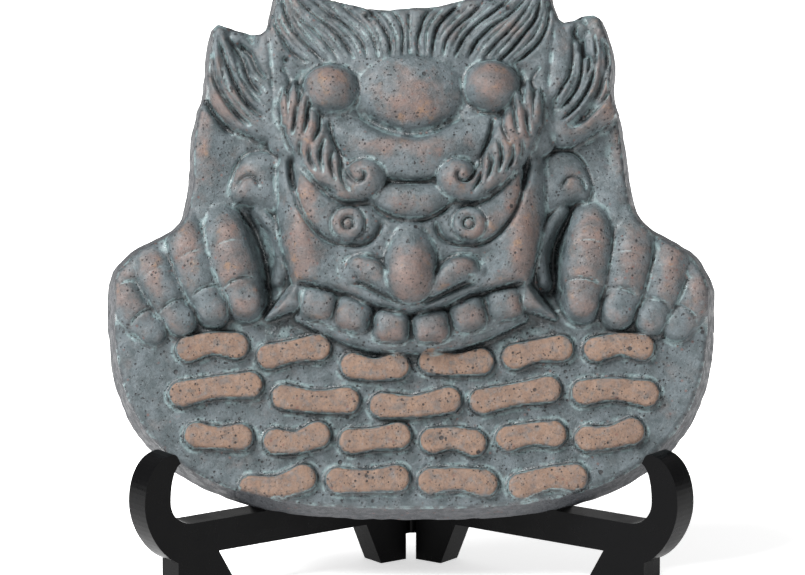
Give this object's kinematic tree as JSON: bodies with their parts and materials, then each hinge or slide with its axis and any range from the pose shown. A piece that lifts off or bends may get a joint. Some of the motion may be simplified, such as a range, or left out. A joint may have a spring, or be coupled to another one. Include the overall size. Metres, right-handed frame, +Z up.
{
  "type": "roof end tile on a display stand",
  "caption": "Demon-faced roof end tile gripping a rounded board with raised strokes, leaning on a folding easel stand.",
  "frame": {"origin": "centre of the bounding box on the floor that the feet stand on", "axes": "+Z up, -Y the way the face looks, +X the viewer's right"},
  "size_m": [0.22, 0.09, 0.2147],
  "materials": {
    "fired_clay": "matte smoked clay with a soft sheen in the hollows",
    "stand_plastic_left": "satin",
    "stand_plastic_right": "satin"
  },
  "bodies": {
    "root": {"demon_face_tile": "fired_clay", "stand_half_left": "stand_plastic_left", "stand_half_right": "stand_plastic_right"}
  },
  "joints": []
}
